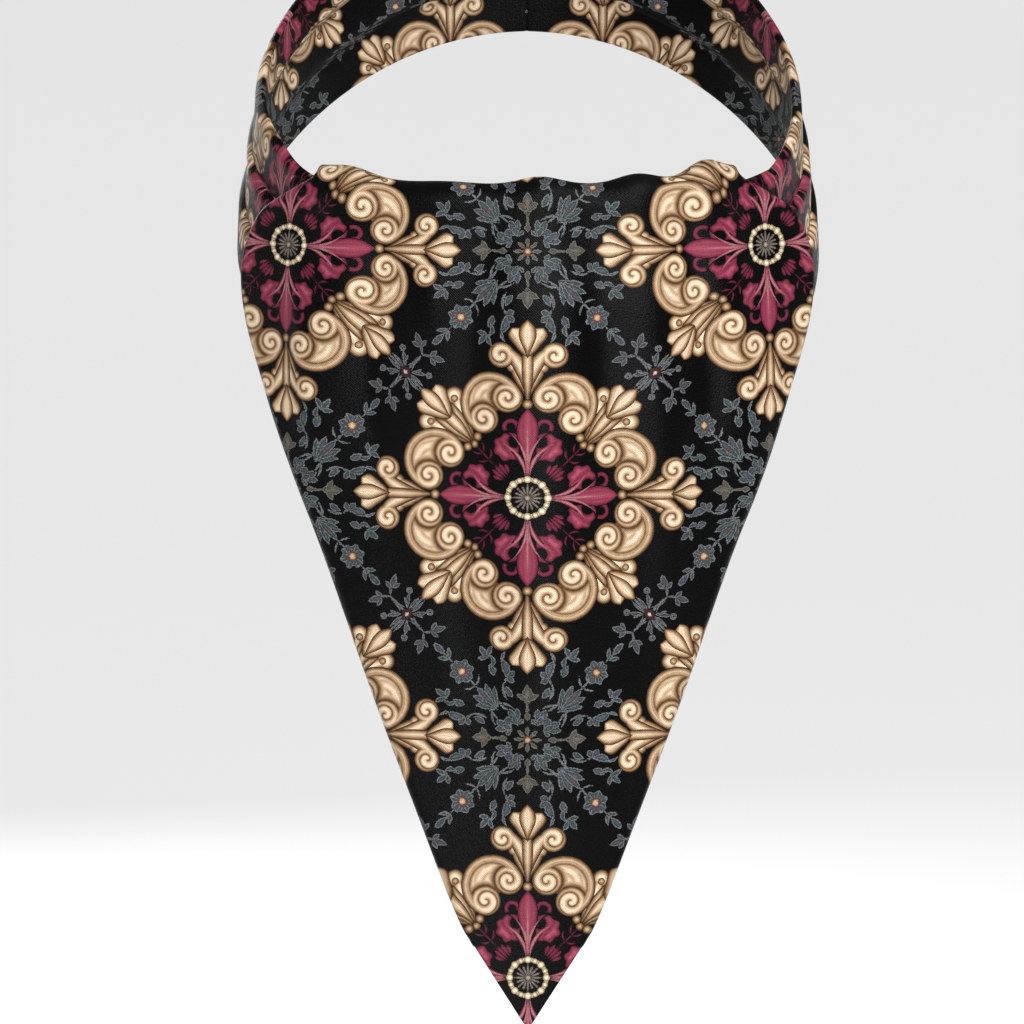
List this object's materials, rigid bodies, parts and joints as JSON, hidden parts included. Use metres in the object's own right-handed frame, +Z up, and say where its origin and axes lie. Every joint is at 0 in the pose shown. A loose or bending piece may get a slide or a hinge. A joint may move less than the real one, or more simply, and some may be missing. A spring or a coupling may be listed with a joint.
{
  "type": "worn silk day cravat",
  "caption": "Silk day cravat in its worn shape, hollow round the neck: a pleated neckband, a crossing at the throat, a broad drape with a pointed end and a shorter end behind it.",
  "frame": {"origin": "on the axis of the neck that wears it, level with the middle of the neckband", "axes": "+Z up along the neck, -Y towards the throat and the drape, +X towards the wearer's left"},
  "size_m": [0.1498, 0.1788, 0.2762],
  "materials": {
    "printed_silk": "black silk twill with a soft sheen, printed with gold scroll medallions, burgundy leaves and grey-blue sprays"
  },
  "bodies": {
    "root": {"neckband_left": "printed_silk", "neckband_right": "printed_silk", "crossing": "printed_silk", "front_drape": "printed_silk", "under_tail": "printed_silk"}
  },
  "joints": []
}
